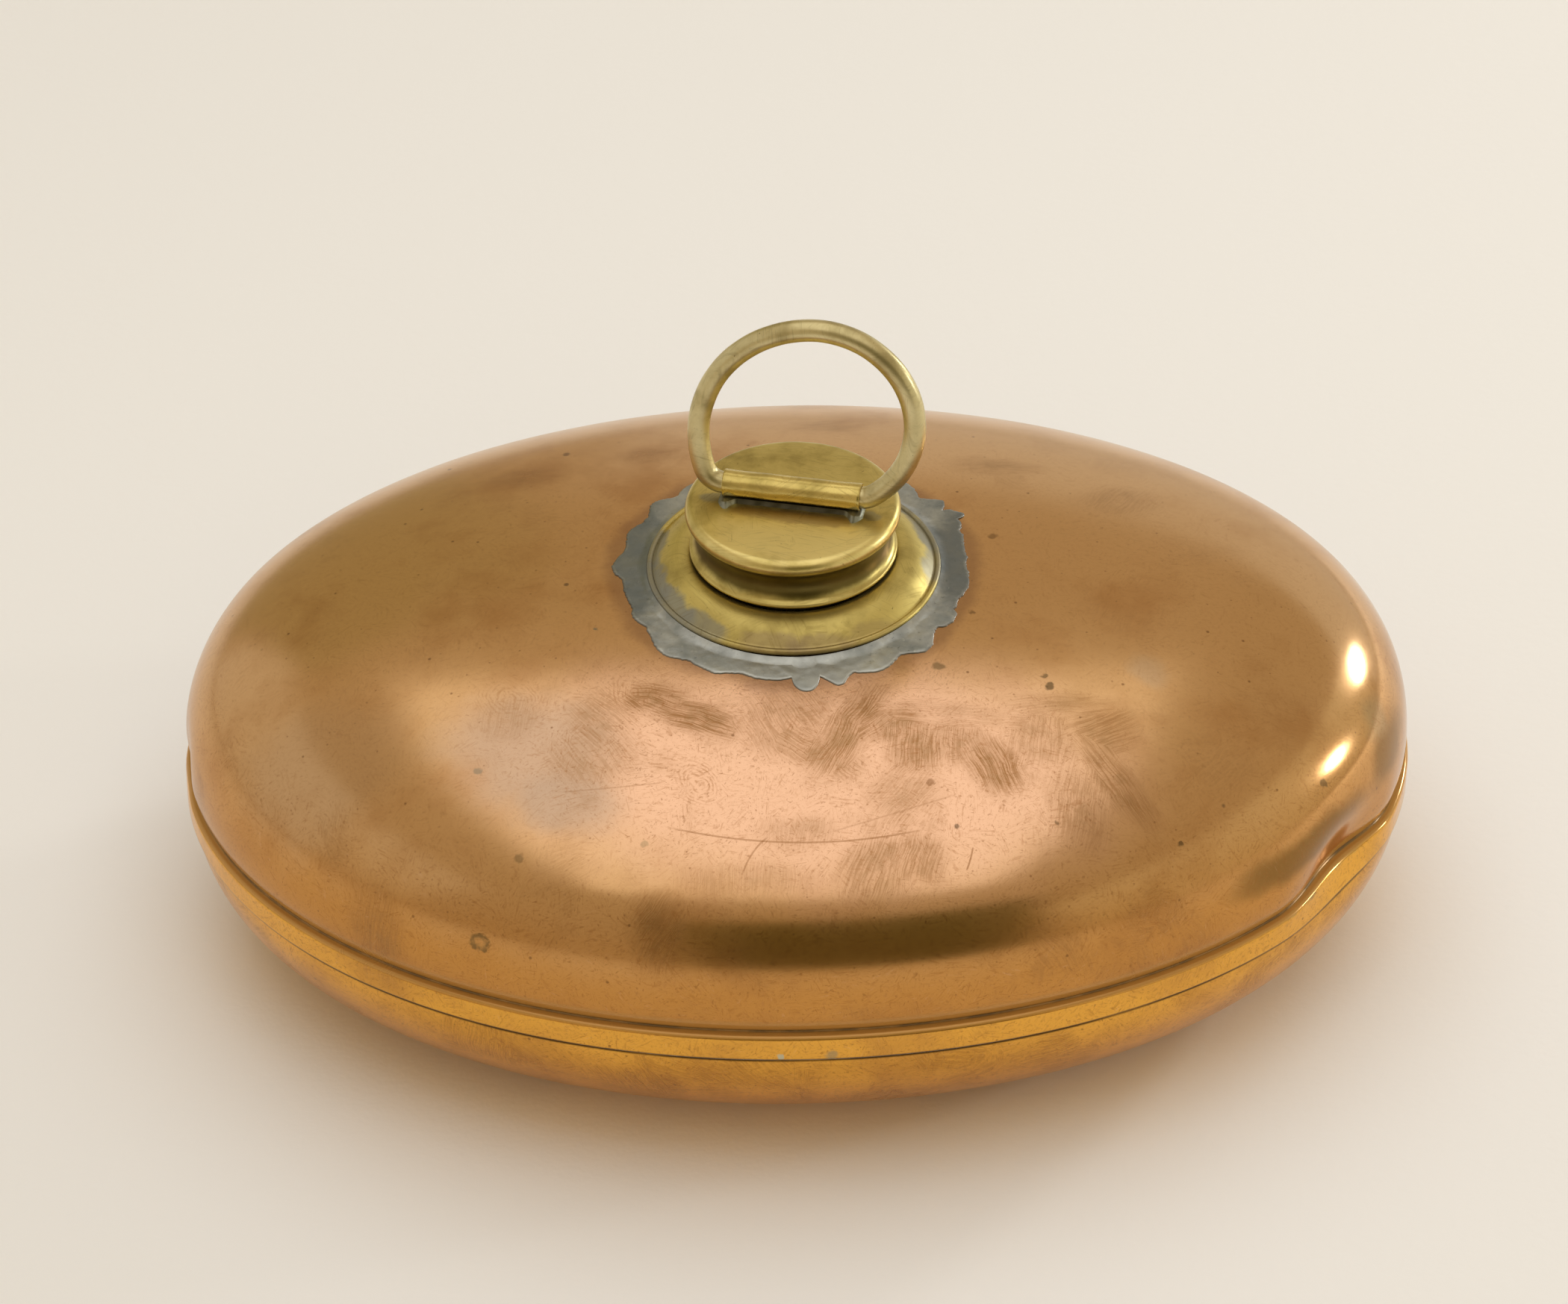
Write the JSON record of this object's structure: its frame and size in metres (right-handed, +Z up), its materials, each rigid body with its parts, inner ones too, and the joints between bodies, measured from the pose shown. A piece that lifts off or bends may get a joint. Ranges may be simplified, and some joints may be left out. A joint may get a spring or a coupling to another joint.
{
  "type": "copper hot water bottle",
  "caption": "Oval copper hot water bottle with a lapped seam, a brass screw stopper on top and a folding ring handle.",
  "frame": {"origin": "middle of the flat base, on the surface that the bottle lies on", "axes": "+X along the bottle's length, +Y across it towards the back, +Z up along the stopper's axis"},
  "size_m": [0.28, 0.204, 0.1577],
  "materials": {
    "copper": "rubbed satin copper sheet with fine scratches",
    "solder": "dull grey soft solder",
    "spun_brass": "rubbed spun brass with dark tarnish in the hollows",
    "turned_brass": "turned brass",
    "aged_brass": "aged drawn brass wire",
    "washer_rubber": "hardened dark rubber"
  },
  "bodies": {
    "bottle": {"upper_shell": "copper", "lower_shell": "copper", "seam_solder": "solder", "neck_collar": "spun_brass", "neck_socket": "turned_brass", "collar_solder": "solder"},
    "seal": {"sealing_washer": "washer_rubber"},
    "stopper": {"stopper_cap": "spun_brass", "screw_plug": "turned_brass", "ring_sleeve": "spun_brass", "sleeve_solder": "solder"},
    "ring": {"ring_handle": "aged_brass"}
  },
  "joints": [
    {"name": "seal_lift", "type": "slide", "parent": "bottle", "child": "seal", "axis": [0, 0, 1], "range_m": [0, 0.018]},
    {"name": "cap_turn", "type": "hinge", "parent": "seal", "child": "stopper", "pos_m": [0, 0, 0.1], "axis": [0, 0, 1], "range_deg": [0, 2160]},
    {"name": "ring_swing", "type": "hinge", "parent": "stopper", "child": "ring", "pos_m": [0, -0.0012, 0.116], "axis": [0.9763, -0.2164, 0], "range_deg": [-80, 96]}
  ],
  "couplings": [
    {"joint": "seal_lift", "follows": "cap_turn", "m_per_rad": 0.00047746}
  ]
}
